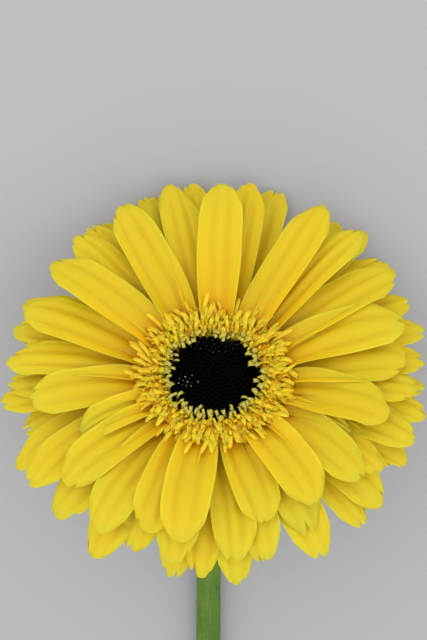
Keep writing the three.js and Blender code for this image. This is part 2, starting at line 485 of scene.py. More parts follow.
def turned_mesh(name, outline, sides, ripple=0.0):
    """A shell turned about the head's axis, in the row's frame."""
    turn = np.linspace(0, 2 * math.pi, sides, endpoint=False)
    radius = np.array([r for r, _ in outline])[:, None] * (1 + ripple * np.sin(13 * turn))[None, :]
    height = np.array([z for _, z in outline])[:, None] + 0 * turn[None, :]
    vertices = np.stack([radius * np.cos(turn), radius * np.sin(turn), height], -1).reshape(-1, 3)
    faces = []
    for k in range(len(outline) - 1):
        for i in range(sides):
            j = (i + 1) % sides
            faces.append((k * sides + i, k * sides + j, (k + 1) * sides + j, (k + 1) * sides + i))
    faces.append(tuple(reversed(range(sides))))
    faces.append(tuple(range((len(outline) - 1) * sides, len(outline) * sides)))
    mesh = bpy.data.meshes.new(name)
    mesh.from_pydata(vertices.tolist(), [], faces)
    right_way_out(mesh)
    mesh.shade_smooth()
    mesh.transform(to_row)
    return mesh


# Bract skin: waxy green leaf, mottled light and dark, with a fine roughness that keeps it dull.
bract_skin, tree, shader = new_material("bract_epidermis", "#5f8038", 0.55)
place = add_node(tree, "ShaderNodeTexCoord").outputs["Object"]
mottle = add_node(tree, "ShaderNodeTexNoise", {"Vector": place, "Scale": 260.0, "Detail": 4.0})
greens = add_node(
    tree, "ShaderNodeValToRGB", {"Fac": mottle.outputs["Fac"]}, [(0.3, "#486a2a"), (0.75, "#7f9c50")]
)
tree.links.new(greens.outputs["Color"], shader.inputs["Base Color"])
skin_bump = add_node(tree, "ShaderNodeTexNoise", {"Vector": place, "Scale": 1800.0, "Detail": 2.0})
bump = add_node(
    tree, "ShaderNodeBump", {"Height": skin_bump.outputs["Fac"], "Distance": 0.0001, "Strength": 0.6}
)
tree.links.new(bump.outputs["Normal"], shader.inputs["Normal"])

cup = link_mesh(
    "receptacle_cup_skin", turned_mesh("receptacle_cup_skin", CUP_OUTLINE, CUP_SIDES, 0.008), bract_skin
)
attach(cup, "root")
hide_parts("receptacle_cup")

# ---- Bracts ----
# Narrow pointed green leaves clasp the cup in three overlapping rows, and each grows from the cup's skin.
BRACT_FACES_WIDE = 4
# The golden angle in radians: each floret of a daisy stands this far round from the one before.
SPIRAL_STEP = 2.399963


def strap_mesh(name, middle_line, half_widths, trough, thickness, faces_wide):
    """A thin closed strap along a line in the XZ plane, broad along Y, its sides curled towards +X."""
    middle_line = np.array(middle_line, float)
    ahead = unit(np.gradient(middle_line, axis=0))
    front = np.stack([ahead[:, 1], -ahead[:, 0]], 1)
    across = np.linspace(-1, 1, faces_wide + 1)
    top = []
    under = []
    for (x, z), (nx, nz), half in zip(middle_line, front, half_widths):
        for s in across:
            lift = trough * half * s * s
            top.append((x + nx * lift, s * half, z + nz * lift))
            under.append((x + nx * (lift - thickness), s * half, z + nz * (lift - thickness)))
    rows, columns = len(middle_line), len(across)
    faces = []
    back = rows * columns
    for i in range(rows - 1):
        for j in range(columns - 1):
            a, b = i * columns + j, (i + 1) * columns + j
            c, d = b + 1, a + 1
            faces.append((a, b, c, d))
            faces.append((back + d, back + c, back + b, back + a))
    for i in range(rows - 1):
        for j in (0, columns - 1):
            a, b = i * columns + j, (i + 1) * columns + j
            faces.append((a, b, back + b, back + a))
    for j in range(columns - 1):
        for i in (0, rows - 1):
            a, b = i * columns + j, i * columns + j + 1
            faces.append((a, b, back + b, back + a))
    mesh = bpy.data.meshes.new(name)
    mesh.from_pydata(top + under, [], faces)
    right_way_out(mesh)
    mesh.shade_smooth()
    return mesh


def spiral_tree():
    """A tree that sets shapes on a spiral about the head's axis, with an equal share of the area for each."""
    tree, given = node_group(
        "florets_on_a_spiral",
        {
            "Carrier": "NodeSocketGeometry",
            "Shapes": "NodeSocketCollection",
            "Count": "NodeSocketInt",
            "First Radius": "NodeSocketFloat",
            "Last Radius": "NodeSocketFloat",
            "First Height": "NodeSocketFloat",
            "Last Height": "NodeSocketFloat",
            "First Lean": "NodeSocketFloat",
            "Last Lean": "NodeSocketFloat",
            "First Size": "NodeSocketFloat",
            "Last Size": "NodeSocketFloat",
            "Stray": "NodeSocketFloat",
            "Turn": "NodeSocketFloat",
            "Seed": "NodeSocketInt",
            "Material": "NodeSocketMaterial",
        },
    )
    points = add_node(tree, "GeometryNodePoints", {"Count": given["Count"]})
    index = add_node(tree, "GeometryNodeInputIndex").outputs["Index"]
    along = {"Value": index, "From Max": given["Count"]}
    first_area = add_node(tree, "ShaderNodeMath", {0: given["First Radius"], 1: 2.0}, operation="POWER")
    last_area = add_node(tree, "ShaderNodeMath", {0: given["Last Radius"], 1: 2.0}, operation="POWER")
    area = add_node(
        tree, "ShaderNodeMapRange", {**along, "To Min": first_area.outputs[0], "To Max": last_area.outputs[0]}
    )
    radius = add_node(tree, "ShaderNodeMath", {0: area.outputs[0]}, operation="SQRT")
    height = add_node(
        tree, "ShaderNodeMapRange", {**along, "To Min": given["First Height"], "To Max": given["Last Height"]}
    )
    lean = add_node(
        tree, "ShaderNodeMapRange", {**along, "To Min": given["First Lean"], "To Max": given["Last Lean"]}
    )
    size = add_node(
        tree, "ShaderNodeMapRange", {**along, "To Min": given["First Size"], "To Max": given["Last Size"]}
    )
    angle = add_node(
        tree, "ShaderNodeMath", {0: index, 1: SPIRAL_STEP, 2: given["Turn"]}, operation="MULTIPLY_ADD"
    )
    cosine = add_node(tree, "ShaderNodeMath", {0: angle.outputs[0]}, operation="COSINE")
    sine = add_node(tree, "ShaderNodeMath", {0: angle.outputs[0]}, operation="SINE")
    x = add_node(tree, "ShaderNodeMath", {0: radius.outputs[0], 1: cosine.outputs[0]}, operation="MULTIPLY")
    y = add_node(tree, "ShaderNodeMath", {0: radius.outputs[0], 1: sine.outputs[0]}, operation="MULTIPLY")
    place = add_node(
        tree, "ShaderNodeCombineXYZ", {"X": x.outputs[0], "Y": y.outputs[0], "Z": height.outputs[0]}
    )
    shift = add_node(
        tree,
        "FunctionNodeRandomValue",
        {"Min": (-1, -1, -0.7), "Max": (1, 1, 0.7), "Seed": given["Seed"]},
        data_type="FLOAT_VECTOR",
    )
    shift = add_node(
        tree, "ShaderNodeVectorMath", {0: shift.outputs[0], "Scale": given["Stray"]}, operation="SCALE"
    )
    set_out = add_node(
        tree,
        "GeometryNodeSetPosition",
        {"Geometry": points.outputs[0], "Position": place.outputs[0], "Offset": shift.outputs[0]},
    )
    facing = add_node(tree, "ShaderNodeCombineXYZ", {"Y": lean.outputs[0], "Z": angle.outputs[0]})
    second_seed = add_node(tree, "ShaderNodeMath", {0: given["Seed"], 1: 1.0}, operation="ADD")
    sway = add_node(
        tree,
        "FunctionNodeRandomValue",
        {"Min": (-0.5, -0.5, -1.1), "Max": (0.5, 0.5, 1.1), "Seed": second_seed.outputs[0]},
        data_type="FLOAT_VECTOR",
    )
    sway = add_node(
        tree, "ShaderNodeVectorMath", {0: sway.outputs[0], "Scale": given["Stray"]}, operation="SCALE"
    )
    facing = add_node(
        tree, "ShaderNodeVectorMath", {0: facing.outputs[0], 1: sway.outputs[0]}, operation="ADD"
    )
    turn = add_node(tree, "FunctionNodeEulerToRotation", {"Euler": facing.outputs[0]})
    uneven = add_node(
        tree, "FunctionNodeRandomValue", {2: 0.85, 3: 1.15, "Seed": given["Seed"]}, data_type="FLOAT"
    )
    scale = add_node(tree, "ShaderNodeMath", {0: size.outputs[0], 1: uneven.outputs[1]}, operation="MULTIPLY")
    shapes = add_node(
        tree,
        "GeometryNodeCollectionInfo",
        {"Collection": given["Shapes"], "Separate Children": True, "Reset Children": True},
    )
    pick = add_node(tree, "FunctionNodeRandomValue", {4: 0, 5: 11, "Seed": given["Seed"]}, data_type="INT")
    set_on = add_node(
        tree,
        "GeometryNodeInstanceOnPoints",
        {
            "Points": set_out.outputs[0],
            "Instance": shapes.outputs[0],
            "Pick Instance": True,
            "Instance Index": pick.outputs[2],
            "Rotation": turn.outputs[0],
            "Scale": scale.outputs[0],
        },
    )
    real = add_node(tree, "GeometryNodeRealizeInstances", {"Geometry": set_on.outputs[0]})
    painted = add_node(
        tree, "GeometryNodeSetMaterial", {"Geometry": real.outputs[0], "Material": given["Material"]}
    )
    add_node(tree, "NodeGroupOutput", {"Geometry": painted.outputs[0]})
    return tree


def shape_set(name, meshes):
    """A set of shapes in millimetres for the spiral to pick from."""
    shapes = bpy.data.collections.new(name)
    for k, mesh in enumerate(meshes):
        shapes.objects.link(hidden_shape(f"{name}_{k}", mesh))
    return shapes


def spiral_piece(name, shapes, material, **values):
    """A piece of many like florets set on the head's spiral."""
    settings = {key.replace("_", " ").title(): value for key, value in values.items()}
    mesh = grown(
        on_a_spiral, name, bpy.data.meshes.new(name), {"Shapes": shapes, "Material": material, **settings}
    )
    mesh.transform(to_row)
    piece = bpy.data.objects.new(name, mesh)
    bpy.context.scene.collection.objects.link(piece)
    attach(piece, "root")
    return piece


on_a_spiral = spiral_tree()
bract_line = [(0, 0), (0.4, 1.6), (0.7, 3.2), (0.8, 4.9), (0.65, 6.5), (0.3, 7.9), (-0.1, 9.0)]
bract_halves = [1.1, 1.45, 1.5, 1.3, 0.95, 0.5, 0.08]
BRACT_TROUGH, BRACT_THICKNESS = -0.35, 0.22
bract_meshes = []
for k, (f, g) in enumerate([(1, 1), (1.3, 0.92), (0.7, 1.05)]):
    line = [(x * f, z * g) for x, z in bract_line]
    bract_meshes.append(
        strap_mesh(f"bract_{k}", line, bract_halves, BRACT_TROUGH, BRACT_THICKNESS, BRACT_FACES_WIDE)
    )
bracts = shape_set("bract", bract_meshes)
# Each row's count, radius, height, lean and size.
BRACT_ROWS = [(17, 6.6, -17.2, 0.98, 0.86), (23, 11.0, -14.7, 0.42, 0.92), (29, 13.1, -12.2, 0.16, 0.78)]
for number, (count, radius, height, lean, size) in enumerate(BRACT_ROWS):
    row = spiral_piece(
        f"bract_row_{number + 1}",
        bracts,
        bract_skin,
        count=count,
        first_radius=radius,
        last_radius=radius + 0.5,
        first_height=height,
        last_height=height + 0.5,
        first_lean=lean,
        last_lean=lean - 0.05,
        first_size=size,
        last_size=size,
        stray=0.12,
        turn=number * 1.1,
        seed=20 + number,
    )

# ---- Ray florets ----
# The yellow blades. Each is one floret whose petals are grown into a single strap, with a narrow claw, soft
# folds, slightly raised rims and a blunt tip with a few small teeth. They stand in whorls, one behind the
# other, and the lowest are pressed against the surface that the flower lies on.
CLAW_RADIUS = 13.8
BLADE_SPAN = 38
BLADE_THICKNESS = 0.26
CLAW_BREADTH = 6.2
TIER_STEP = 0.8
TIP_RECURVE = 0.175
LEAN, SAG = 8, 3
TABLE_STEP = 0.9
TABLE_GAP, FLATTEN_BELOW = 0.05, 1.5
TIP_ROUNDING = 0.15
END_TAPER = 0.26
FULL_BREADTH_AT, FULL_ROLL_AT = 0.52, 0.25
ALONG, ACROSS = 44, 33
# Each whorl's mean rise in degrees, and its blades as azimuth, reach, breadth and roll.
WHORLS = [
    (
        15,
        [
            (57, 50.6, 10.4, 6), (87, 48.4, 11, -3), (145.5, 48.2, 11.6, -6), (206.5, 35.5, 8.2, 4),
            (259.5, 43.5, 11.6, 3), (305.5, 41, 11.2, -5),
        ],
    ),
    (
        12.5,
        [
            (15.5, 48, 13, 7), (45.5, 51.5, 9.8, 8), (118.5, 49.2, 11.2, -6), (161, 49, 11.6, -4),
            (190, 44.5, 10.8, 2), (218.5, 45, 10.6, 5), (248, 42.5, 11, 8), (288.5, 39, 11, 4),
            (322.5, 44, 11.6, 7), (345.5, 43.5, 12.6, 6),
        ],
    ),
    (
        10,
        [
            (5, 47, 14.2, 4), (31, 52.6, 11.6, 10), (79.5, 52.4, 9.6, 5), (102, 52.2, 10.2, -4),
            (133, 50.6, 10, -6), (176, 50.4, 10, -5), (234.5, 47.5, 11.4, 6),
        ],
    ),
    (
        7,
        [
            (95.5, 54, 9.6, -3), (210, 51.6, 10.6, 4), (258, 46.5, 10.4, 3), (277, 45.5, 10.8, -2),
            (301.5, 44.5, 11, 5), (331.5, 46.5, 11, 8), (357, 49.6, 11.4, 8),
        ],
    ),
    (
        4.5,
        [
            (6.5, 52, 10.4, 7), (48, 56.6, 10.8, 5), (73.5, 56.6, 10.6, 3), (126, 53.2, 10.4, -5),
            (221, 50.2, 11, 4), (245, 45.8, 10.6, 3), (286, 46, 10.6, -3), (343.5, 51, 11, 6),
        ],
    ),
    (
        1.5,
        [
            (84, 55.4, 10, 2), (104, 56.4, 10, -2), (162, 52.7, 10.6, -3), (183.5, 52.2, 10.4, 3),
            (203, 51.8, 11.2, 3), (235.8, 51, 11, 3), (266, 47.2, 9.6, 2), (302, 49.4, 11, -4),
            (324.5, 50, 11.2, 4), (353.5, 53, 11, 5),
        ],
    ),
    (
        -1,
        [
            (19, 55.8, 11.2, 3), (57, 58.6, 10.6, 2), (122, 56, 10.6, -3), (191.5, 47.8, 10.2, 2),
            (258.5, 47.4, 9.8, 3), (277.5, 48.2, 10, -3), (318, 49.2, 10, 3), (339.5, 50.3, 10.8, 4),
        ],
    ),
]
# Late blades that fill the gaps at the back, as whorl, azimuth, reach, breadth and roll.
FILLERS = [
    (4, 24.5, 53.5, 9.5, 5), (5, 38, 56, 9.5, 4), (4, 109, 54.5, 9.5, -3), (3, 156, 51.5, 9, -4),
    (4, 180.5, 50.5, 9, 2), (3, 173, 37.5, 5.2, 8), (1, 336, 36, 4.6, -8), (5, 0.5, 52, 9.5, 4),
]
up_in_head = np.array([0, -math.sin(HEAD_TILT), math.cos(HEAD_TILT)])


def smooth(x):
    x = np.clip(x, 0, 1)
    return x * x * (3 - 2 * x)


def ray_blade(name, tier, rise, azimuth, reach, breadth, roll, chance):
    """One ray floret's mesh: an upper face and an underside on one grid, joined at the rims."""
    along = np.linspace(0, 1, ALONG)[:, None] + 0 * np.ones(ACROSS)[None, :]
    s = np.sin(
        np.linspace(-1, 1, ACROSS) * math.pi / 2 * 0.94
    )[None, :] / math.sin(math.pi / 2 * 0.94) + 0 * along
    # The blunt tip: rounded shoulders, and two to four notches of different depths between its teeth.
    tip = 1 - TIP_ROUNDING * np.abs(s) ** 3.0
    notches = chance.uniform(-0.75, 0.75, chance.integers(2, 5))
    for notch in notches:
        depth = chance.uniform(0.004, 0.02 + 0.006 * tier)
        tip = tip - depth * np.exp(-(((s - notch) / chance.uniform(0.05, 0.11)) ** 2))
    tip = tip - chance.uniform(-0.03, 0.03) * s
    t = along * tip
    rise_slope = math.tan(math.radians(rise + LEAN * math.sin(math.radians(azimuth))))
    sag = -math.radians(SAG) * math.cos(math.radians(azimuth)) + math.radians(chance.uniform(-1.5, 1.5))
    front = smooth((-math.sin(math.radians(azimuth)) + 0.1) / 0.9)
    arch = chance.uniform(0.1, 0.7) + 1.0 * front
    droop = chance.uniform(0.3, 1.3) + 1.6 * front

    def middle(t):
        r = CLAW_RADIUS + t * (reach - CLAW_RADIUS)
        a = math.radians(azimuth) - sag * (1 - np.clip(t, 0, 1.2) ** 1.6)
        z = -TIER_STEP * tier + (r - CLAW_RADIUS) * (
            rise_slope + TIP_RECURVE * (1 - (r - CLAW_RADIUS) / BLADE_SPAN)
        )
        z = z + arch * np.sin(math.pi * np.clip(t, 0, 1)) - droop * smooth((t - 0.62) / 0.5) ** 1.4 * 1.6
        return np.stack([r * np.cos(a), r * np.sin(a), z], -1)

    ahead = unit(middle(t + 0.01) - middle(t - 0.01))
    across = unit(np.stack([-ahead[..., 1], ahead[..., 0], 0 * t], -1))
    out = np.cross(ahead, across)
    twist = np.radians(
        roll + chance.uniform(-2, 2)
    ) * smooth(t / FULL_ROLL_AT) + np.radians(chance.uniform(-6, 6)) * smooth((t - 0.5) / 0.5)
    rolled = across * np.cos(twist)[..., None] - out * np.sin(twist)[..., None]
    out = np.cross(ahead, rolled)
    widen = np.sin(math.pi / 2 * np.clip(t / FULL_BREADTH_AT, 0, 1)) ** 0.85
    claw = CLAW_BREADTH / breadth
    half = breadth / 2 * (claw + (1 - claw) * widen) * (1 - END_TAPER * smooth((t - 0.66) / 0.4) ** 1.25)
    # Folds: a trough near the claw, two long soft grooves with a ridge between them, and rims that stand up.
    trough = (
        0.6 * (1 - smooth((t - 0.1) / 0.55)) + chance.uniform(0.02, 0.14)
    ) * half * np.abs(s) ** 2.1 * 0.8
    crown = -chance.uniform(0.2, 1.0) * smooth((t - 0.45) / 0.55) * np.abs(s) ** 2.2
    relief = trough + crown
    fade = smooth(t / 0.12) * (1 - 0.7 * smooth((t - 0.74) / 0.26))
    # How deep in the grooves each point lies, kept for the material's painted shade in the creases.
    crease_shade = 0 * t
    for side in (-1, 1):
        groove = side * chance.uniform(0.28, 0.46) + 0.04 * np.sin(4 * t + chance.uniform(0, 6))
        crease = fade * np.exp(-(((s - groove) / chance.uniform(0.11, 0.18)) ** 2))
        relief = relief - chance.uniform(0.3, 0.8) * crease
        crease_shade = crease_shade + crease * chance.uniform(0.5, 1)
    relief = relief + chance.uniform(0.05, 0.3) * fade * np.exp(-((s / 0.18) ** 2))
    relief = relief + 0.2 * smooth((np.abs(s) - 0.86) / 0.14) * smooth(t / 0.1)
    wave = chance.uniform(0.08, 0.4) * np.abs(s) ** 2.5 * smooth(t / 0.4)
    relief = relief + wave * np.sin(chance.uniform(6, 11) * t + chance.uniform(0, 6.3) + 1.5 * np.sign(s))
    # Each side of the tip curls its own way, and the very end turns down.
    for side in (-1, 1):
        curl = chance.uniform(-0.9, 0.5) * smooth(side * s) ** 1.2
        relief = relief + curl * smooth((t - 0.72) / 0.28) ** 1.5
    relief = relief - chance.uniform(0.1, 1.0) * smooth((along - 0.88) / 0.12) ** 1.5
    upper = middle(t) + rolled * (s * half)[..., None] + out * relief[..., None]
    thin = BLADE_THICKNESS * (0.35 + 0.65 * (1 - np.abs(s) ** 6)) * (1 - 0.5 * smooth((along - 0.92) / 0.08))
    under = upper - out * thin[..., None]
    lift = TABLE_STEP * (len(WHORLS) - 1 - tier)
    for layer, clearance in ((upper, TABLE_GAP + BLADE_THICKNESS), (under, TABLE_GAP)):
        height = HEAD_HEIGHT + layer @ up_in_head
        # A blade that meets the surface flattens against it, ever less as it comes nearer.
        above = height - lift - clearance
        flattened = FLATTEN_BELOW * np.exp(np.minimum(above, FLATTEN_BELOW) / FLATTEN_BELOW - 1)
        rest = np.where(above > FLATTEN_BELOW, above, flattened)
        layer += up_in_head * (rest - above)[..., None]
    vertices = np.vstack([upper.reshape(-1, 3), under.reshape(-1, 3)])
    n = ALONG * ACROSS
    i, j = np.meshgrid(np.arange(ALONG - 1), np.arange(ACROSS - 1), indexing="ij")
    a = (i * ACROSS + j).ravel()
    faces = np.stack([a, a + ACROSS, a + ACROSS + 1, a + 1], 1)
    faces = np.vstack([faces, faces[:, ::-1] + n])
    rim = list(range(ACROSS)) + [k * ACROSS + ACROSS - 1 for k in range(1, ALONG)]
    rim += [
        (ALONG - 1) * ACROSS + k for k in range(ACROSS - 2, -1, -1)
    ] + [k * ACROSS for k in range(ALONG - 2, 0, -1)]
    rim_faces = [
        (rim[k], rim[(k + 1) % len(rim)], n + rim[(k + 1) % len(rim)], n + rim[k]) for k in range(len(rim))
    ]
    mesh = bpy.data.meshes.new(name)
    mesh.from_pydata(vertices.tolist(), [], faces.tolist() + rim_faces)
    mesh.transform(to_row)
    blade = np.tile(np.stack([(s.ravel() + 1) / 2, t.ravel()], 1), (2, 1))
    corners = np.empty(len(mesh.loops), int)
    mesh.loops.foreach_get("vertex_index", corners)
    mesh.uv_layers.new(name="blade").data.foreach_set("uv", blade[corners].ravel())
    floret = mesh.attributes.new("floret", "FLOAT_VECTOR", "POINT")
    underside = np.concatenate([np.zeros(n), np.ones(n)])
    bruise = np.tile((smooth((along - 0.93) / 0.07) * np.exp(-(((s - notches[0]) / 0.13) ** 2))).ravel(), 2)
    tone = np.full(2 * n, chance.uniform(0, 1))
    floret.data.foreach_set(
        "vector", np.stack([tone, underside, bruise * (chance.uniform() < 0.3)], 1).ravel()
    )
    # Stored so that the material paints shade into the creases.
    crease_shaded = mesh.attributes.new("crease_shade", "FLOAT", "POINT")
    crease_shaded.data.foreach_set("value", np.tile(crease_shade.ravel(), 2))
    right_way_out(mesh)
    mesh.shade_smooth()
    return mesh


# Petal tissue: a velvety, matte yellow skin over thin, light-filled cells. It is orange towards the claw,
# partly its own colour and partly painted shade: the strong, bright orange there stands in for the warm shade
# in the gaps between the blades. It is faintly green at the tip, with fine parallel veins.
petal, tree, shader = new_material("ray_petal_tissue", "#e6c92a", 0.56)
blade = add_node(tree, "ShaderNodeUVMap", uv_map="blade").outputs["UV"]
axes = add_node(tree, "ShaderNodeSeparateXYZ", {"Vector": blade})
place = add_node(tree, "ShaderNodeTexCoord").outputs["Object"]
floret = add_node(tree, "ShaderNodeAttribute", attribute_name="floret")
facts = add_node(tree, "ShaderNodeSeparateXYZ", {"Vector": floret.outputs["Vector"]})
# Painted shade at the claw: the strong, bright orange stops stand in part for the warm shade in the gaps
# between the blades.
along_tint_and_gap_shade = add_node(
    tree,
    "ShaderNodeValToRGB",
    {"Fac": axes.outputs["Y"]},
    [
        (0.0, "#f8980e"),
        (0.14, "#f6ac10"),
        (0.34, "#e6ba16"),
        (0.66, "#dcbf1c"),
        (0.92, "#d3bf24"),
        (1.0, "#c2b830"),
    ],
)
# Veins about 1 mm apart, drawn as bands across the blade that wander a little.
strands = add_node(tree, "ShaderNodeMapping", {"Vector": blade, "Scale": (1.0, 0.06, 1.0)})
veins = add_node(
    tree,
    "ShaderNodeTexWave",
    {
        "Vector": strands.outputs["Vector"],
        "Scale": 3.4,
        "Distortion": 2.2,
        "Detail": 2.0,
        "Detail Scale": 1.4,
    },
    bands_direction="X",
)
fine = add_node(
    tree, "ShaderNodeTexNoise", {"Vector": strands.outputs["Vector"], "Scale": 60.0, "Detail": 2.0}
)
vein_share = add_node(
    tree,
    "ShaderNodeMapRange",
    {"Value": veins.outputs["Fac"], "From Min": 0.0, "From Max": 0.5, "To Min": 0.08, "To Max": 0.0},
)
veined = add_node(
    tree,
    "ShaderNodeMix",
    {0: vein_share.outputs["Result"], 6: along_tint_and_gap_shade.outputs["Color"], 7: linear("#dca60e")},
    data_type="RGBA",
)
# Painted shade: the creases are painted a little deeper in colour, as shade falls in them.
crease_shade = add_node(tree, "ShaderNodeAttribute", attribute_name="crease_shade")
crease_shade_share = add_node(tree, "ShaderNodeMapRange", {"Value": crease_shade.outputs["Fac"], "To Max": 0.34})
crease_shaded = add_node(
    tree,
    "ShaderNodeMix",
    {0: crease_shade_share.outputs["Result"], 6: veined.outputs[2], 7: linear("#c08e0c")},
    data_type="RGBA",
)
# Painted highlight: the rims are thinnest, and they are painted brighter, as light catches them and shines
# through them.
rim_glint_left = add_node(
    tree,
    "ShaderNodeMapRange",
    {"Value": axes.outputs["X"], "From Min": 0.05, "From Max": 0.01, "To Max": 0.55},
)
rim_glint_right = add_node(
    tree,
    "ShaderNodeMapRange",
    {"Value": axes.outputs["X"], "From Min": 0.95, "From Max": 0.99, "To Max": 0.55},
)
rim_glint_share = add_node(
    tree, "ShaderNodeMath", {0: rim_glint_left.outputs["Result"], 1: rim_glint_right.outputs["Result"]}, operation="ADD"
)
rim_glinted = add_node(
    tree,
    "ShaderNodeMix",
    {0: rim_glint_share.outputs["Value"], 6: crease_shaded.outputs[2], 7: linear("#f6d93a")},
    data_type="RGBA",
)
patches = add_node(tree, "ShaderNodeTexNoise", {"Vector": place, "Scale": 95.0, "Detail": 3.0})
patch_share = add_node(
    tree,
    "ShaderNodeMapRange",
    {"Value": patches.outputs["Fac"], "From Min": 0.45, "From Max": 0.75, "To Max": 0.35},
)
patched = add_node(
    tree,
    "ShaderNodeMix",
    {0: patch_share.outputs["Result"], 6: rim_glinted.outputs[2], 7: linear("#d8ba14")},
    data_type="RGBA",
)
tone_share = add_node(tree, "ShaderNodeMapRange", {"Value": facts.outputs["X"], "To Max": 0.5})
toned = add_node(
    tree,
    "ShaderNodeMix",
    {0: tone_share.outputs["Result"], 6: patched.outputs[2], 7: linear("#e0b814")},
    data_type="RGBA",
)
bruise = add_node(
    tree,
    "ShaderNodeMapRange",
    {"Value": facts.outputs["Z"], "From Min": 0.45, "From Max": 0.95, "To Max": 0.75},
)
bruised = add_node(
    tree,
    "ShaderNodeMix",
    {0: bruise.outputs["Result"], 6: toned.outputs[2], 7: linear("#6e5a1c")},
    data_type="RGBA",
)
back = add_node(
    tree,
    "ShaderNodeMix",
    {0: facts.outputs["Y"], 6: bruised.outputs[2], 7: linear("#e0c430")},
    data_type="RGBA",
)
tree.links.new(back.outputs[2], shader.inputs["Base Color"])
both = add_node(tree, "ShaderNodeMath", {0: veins.outputs["Fac"], 1: fine.outputs["Fac"]}, operation="ADD")
bump = add_node(
    tree, "ShaderNodeBump", {"Height": both.outputs["Value"], "Distance": 0.00002, "Strength": 0.6}
)
tree.links.new(bump.outputs["Normal"], shader.inputs["Normal"])
shader.inputs["Specular IOR Level"].default_value = 0.18
shader.inputs["Subsurface Weight"].default_value = 0.85
shader.inputs["Subsurface Radius"].default_value = (1.0, 0.72, 0.1)
shader.inputs["Subsurface Scale"].default_value = 0.0011

blades = [(tier, *blade) for tier, (rise, whorl) in enumerate(WHORLS) for blade in whorl]
for number, (tier, azimuth, reach, breadth, roll) in enumerate(blades + FILLERS, 1):
    chance = np.random.default_rng(100 + number)
    name = f"ray_petal_{number:02d}"
    mesh = ray_blade(name, tier, WHORLS[tier][0], azimuth, reach, breadth, roll, chance)
    petal_piece = link_mesh(name, mesh, petal)
    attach(petal_piece, "root")
    if number <= len(blades):
        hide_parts(f"ray_floret_{number:02d}")

# ---- Trans florets ----
# Small two-lipped florets in several rings between the rays and the dark middle. Each is a slender tube that
# splits into an outer strap, curled out over the rays, and an inner lip that curls in. The innermost open
# last, and their short pale ends hook in over the dark buds.

FLORET_FACES_WIDE = 2


def floret_shape(name, height, strap_length, curl, half, inner):
    """An outer strap that rises and curls outwards, with a shorter inner lip curled the other way."""
    steps = 6
    line = [(0.0, 0.0), (0.05 * height, height)]
    for bend in np.linspace(0.06, curl, steps):
        x, z = line[-1]
        line.append((x + math.sin(bend) * strap_length / steps, z + math.cos(bend) * strap_length / steps))
    halves = [half * 0.7, half * 0.8] + list(
        np.linspace(0.95, 1.1, steps - 2) * half
    ) + [half * 0.95, half * 0.5]
    outer = strap_mesh(name, line, halves, -0.5, 0.13, FLORET_FACES_WIDE)
    if inner:
        back_line = [(0.0, height * 0.5), (-0.1, height)]
        for bend in np.linspace(-0.2, -2.6, 4):
            x, z = back_line[-1]
            back_line.append((x + math.sin(bend) * inner / 4, z + math.cos(bend) * inner / 4))
        lip_halves = [half * share for share in (0.6, 0.7, 0.7, 0.65, 0.55, 0.35)]
        lip = strap_mesh(name + "_lip", back_line, lip_halves, 0.4, 0.12, FLORET_FACES_WIDE)
        shell = bmesh.new()
        shell.from_mesh(outer)
        shell.from_mesh(lip)
        shell.to_mesh(outer)
        shell.free()
    return outer


def hook_shape(name, height, reach, half):
    """An inner floret's short lip: it stands up and bends in over the buds, with a square, hollow end."""
    line = [(0.0, 0.0), (-0.1, height)]
    for bend in np.linspace(-0.7, -1.9, 3):
        x, z = line[-1]
        line.append((x + math.sin(bend) * reach / 3, z + math.cos(bend) * reach / 3))
    return strap_mesh(
        name, line, [half * share for share in (0.6, 0.75, 0.95, 1, 0.9)], 0.7, 0.13, FLORET_FACES_WIDE
    )


# Floret tissue: the same matte yellow as the rays, deeper and more orange in the folds.
ring_tissue, tree, shader = new_material("trans_floret_tissue", "#e3b526", 0.55)
place = add_node(tree, "ShaderNodeTexCoord").outputs["Object"]
speckle = add_node(tree, "ShaderNodeTexNoise", {"Vector": place, "Scale": 420.0, "Detail": 2.0})
yellows = add_node(
    tree, "ShaderNodeValToRGB", {"Fac": speckle.outputs["Fac"]}, [(0.32, "#f6b61a"), (0.66, "#fbd428")]
)
tree.links.new(yellows.outputs["Color"], shader.inputs["Base Color"])
grain = add_node(tree, "ShaderNodeTexNoise", {"Vector": place, "Scale": 2500.0})
bump = add_node(
    tree, "ShaderNodeBump", {"Height": grain.outputs["Fac"], "Distance": 0.00004, "Strength": 0.4}
)
tree.links.new(bump.outputs["Normal"], shader.inputs["Normal"])
shader.inputs["Specular IOR Level"].default_value = 0.2
shader.inputs["Subsurface Weight"].default_value = 0.8
shader.inputs["Subsurface Radius"].default_value = (1.0, 0.7, 0.1)
shader.inputs["Subsurface Scale"].default_value = 0.0009

# The inner ends are paler and greener, as the newest tissue is.
young_tissue, tree, shader = new_material("young_floret_tissue", "#cfc565", 0.5)
place = add_node(tree, "ShaderNodeTexCoord").outputs["Object"]
speckle = add_node(tree, "ShaderNodeTexNoise", {"Vector": place, "Scale": 500.0})
pales = add_node(
    tree,
    "ShaderNodeMix",
    {0: speckle.outputs["Fac"], 6: linear("#b8a830"), 7: linear("#cfc758")},
    data_type="RGBA",
)
tree.links.new(pales.outputs[2], shader.inputs["Base Color"])

